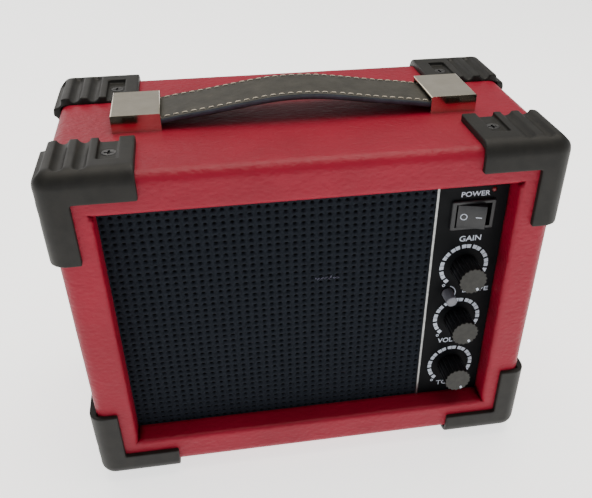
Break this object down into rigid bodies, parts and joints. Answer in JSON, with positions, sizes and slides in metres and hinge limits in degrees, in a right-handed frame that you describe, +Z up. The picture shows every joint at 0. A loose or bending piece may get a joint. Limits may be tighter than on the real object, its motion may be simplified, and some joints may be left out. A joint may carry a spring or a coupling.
{
  "type": "guitar amplifier",
  "caption": "Small practice guitar amplifier: covered box cabinet with ribbed corner protectors, grille cloth, knob panel, rocker switch, strap handle and rear sockets.",
  "frame": {"origin": "on the floor, under the middle of the cabinet", "axes": "+X to the right seen from the front, +Y from the front to the back, +Z up"},
  "size_m": [0.228, 0.1226, 0.1859],
  "materials": {
    "board_wood": "raw fibreboard",
    "red_vinyl": "grained red vinyl, satin",
    "grille_cloth": "open basket weave",
    "bright_strip": "polished",
    "panel_black": "fine satin black",
    "led_red": "clear tinted",
    "switch_black": "satin",
    "button_grey": "satin",
    "control_body": "moulded",
    "zinc_plated": "plated",
    "knob_black": "soft satin",
    "circuit_green": "lacquered",
    "component_black": "moulded",
    "heat_sink_aluminium": "extruded",
    "basket_steel": "black paint",
    "gasket_felt": "felt",
    "ferrite": "sintered",
    "plated_steel": "zinc plated",
    "cone_paper": "pressed paper",
    "coil_copper": "enamelled wire",
    "surround_rubber": "matt",
    "screw_black": "black oxide",
    "bolt_steel": "plated",
    "lead_insulation": "flexible",
    "rear_panel_black": "black paint, textured",
    "plate_steel": "satin black",
    "socket_black": "moulded",
    "strap_leather": "stitched",
    "cap_chrome": "polished",
    "corner_plastic": "moulded, fine texture",
    "foot_rubber": "matt"
  },
  "bodies": {
    "amplifier": {"back_panel": "rear_panel_black", "baffle_board": "board_wood", "battens": "board_wood", "board_components": "component_black", "bottom_board": "board_wood", "circuit_board": "circuit_green", "control_panel": "panel_black", "corner_bottom_front_left": "corner_plastic", "corner_bottom_front_right": "corner_plastic", "corner_bottom_rear_left": "corner_plastic", "corner_bottom_rear_right": "corner_plastic", "corner_screws": "screw_black", "corner_top_front_left": "corner_plastic", "corner_top_front_right": "corner_plastic", "corner_top_rear_left": "corner_plastic", "corner_top_rear_right": "corner_plastic", "dc_inlet": "socket_black", "drive_switch": "control_body", "foot_screws": "screw_black", "grille_cloth": "grille_cloth", "handle_bolts": "bolt_steel", "handle_strap": "strap_leather", "headphone_jack": "socket_black", "heat_sink": "heat_sink_aluminium", "input_jack": "socket_black", "jack_plate": "plate_steel", "left_board": "board_wood", "left_handle_cap": "cap_chrome", "panel_screws": "screw_black", "pot_nuts": "zinc_plated", "potentiometers": "zinc_plated", "power_led": "led_red", "right_board": "board_wood", "right_handle_cap": "cap_chrome", "rubber_feet": "foot_rubber", "speaker_basket": "basket_steel", "speaker_gasket": "gasket_felt", "speaker_leads": "lead_insulation", "speaker_magnet": "ferrite", "speaker_screws": "screw_black", "speaker_top_plate": "plated_steel", "speaker_yoke": "plated_steel", "switch_housing": "switch_black", "top_board": "board_wood", "trim_strip": "bright_strip", "vinyl_covering": "red_vinyl", "wiring_harness": "lead_insulation"},
    "gain_control": {"gain_knob": "knob_black", "gain_shaft": "zinc_plated"},
    "volume_control": {"volume_knob": "knob_black", "volume_shaft": "zinc_plated"},
    "tone_control": {"tone_knob": "knob_black", "tone_shaft": "zinc_plated"},
    "rocker": {"switch_rocker": "switch_black"},
    "push_button": {"drive_button": "button_grey"},
    "cone_assembly": {"speaker_cone": "cone_paper", "dust_cap": "cone_paper", "voice_coil": "coil_copper", "cone_surround": "surround_rubber", "spider": "cone_paper"}
  },
  "joints": [
    {"name": "gain_turn", "type": "hinge", "parent": "amplifier", "child": "gain_control", "pos_m": [0.076, -0.0538, 0.1069], "axis": [0, -1, 0], "range_deg": [0, 300]},
    {"name": "volume_turn", "type": "hinge", "parent": "amplifier", "child": "volume_control", "pos_m": [0.076, -0.0538, 0.0754], "axis": [0, -1, 0], "range_deg": [0, 300]},
    {"name": "tone_turn", "type": "hinge", "parent": "amplifier", "child": "tone_control", "pos_m": [0.076, -0.0538, 0.0443], "axis": [0, -1, 0], "range_deg": [0, 300]},
    {"name": "power_rock", "type": "hinge", "parent": "amplifier", "child": "rocker", "pos_m": [0.0764, -0.0454, 0.1358], "axis": [0, 0, 1], "range_deg": [0, 34]},
    {"name": "drive_press", "type": "slide", "parent": "amplifier", "child": "push_button", "axis": [0, 1, 0], "range_m": [0, 0.0028], "stiffness_N_per_m": 400},
    {"name": "cone_travel", "type": "slide", "parent": "amplifier", "child": "cone_assembly", "axis": [0, 1, 0], "range_m": [-0.002, 0.002], "stiffness_N_per_m": 1200, "deforming": ["cone_surround", "spider"]}
  ]
}
